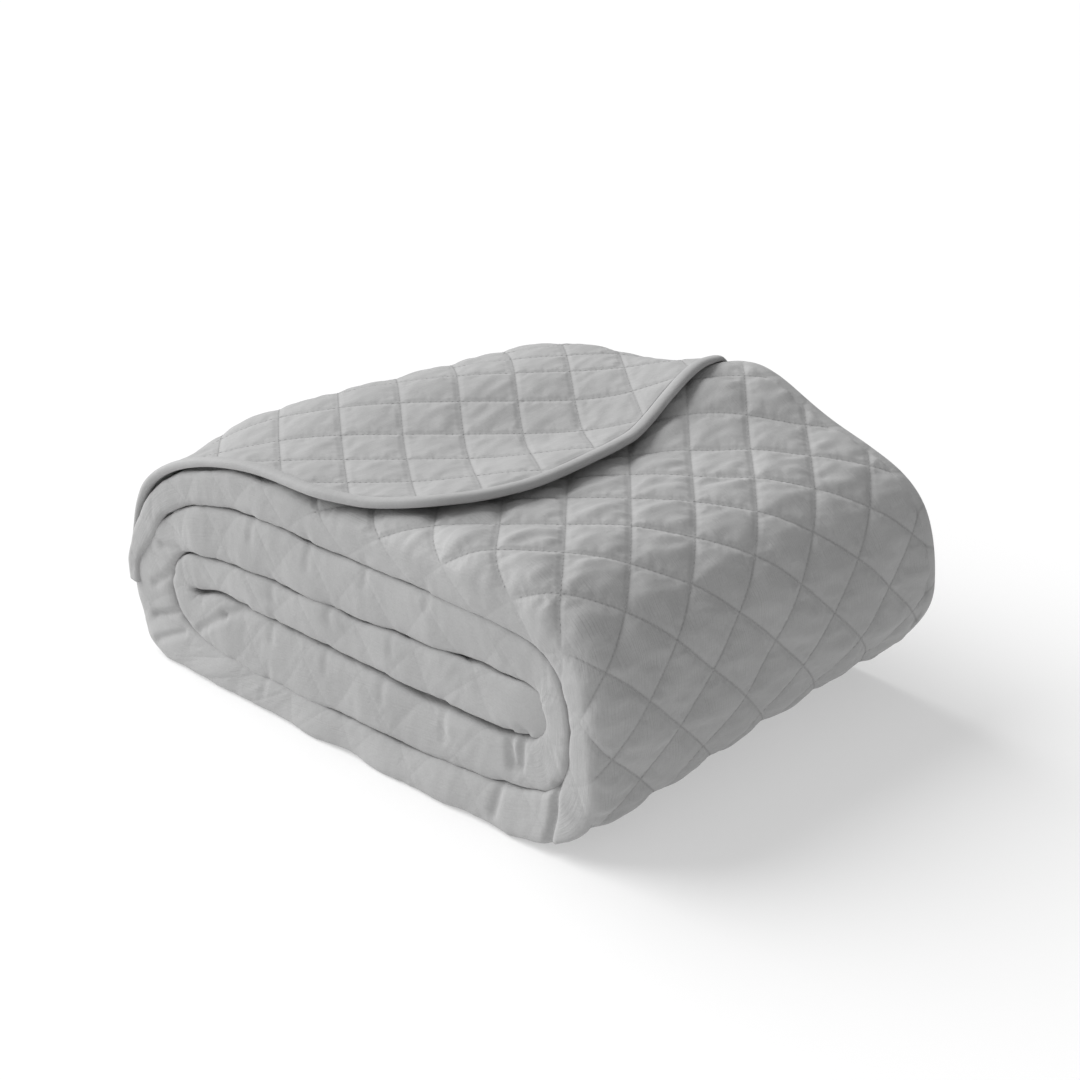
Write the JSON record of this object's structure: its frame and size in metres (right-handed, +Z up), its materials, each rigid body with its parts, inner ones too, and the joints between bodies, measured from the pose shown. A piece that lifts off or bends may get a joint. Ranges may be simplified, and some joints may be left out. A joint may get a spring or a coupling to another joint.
{
  "type": "bedspread",
  "caption": "Diamond-quilted bedspread, folded lengthwise and rolled flat, with one bound ply turned back over the top.",
  "frame": {"origin": "middle of the rest face, on the surface that the roll lies on", "axes": "+X along the rolled end face, towards the closed side; +Y away from the end face that shows, along the width of the strip; +Z up"},
  "size_m": [0.5166, 0.3951, 0.2349],
  "materials": {
    "quilted_cloth": "matt washed cotton-look weave, mid grey, stitched in diamonds",
    "binding_cloth": "matt plain cloth of the same grey, folded narrow over the edge"
  },
  "bodies": {
    "root": {"quilt": "quilted_cloth", "edge_binding": "binding_cloth"}
  },
  "joints": []
}
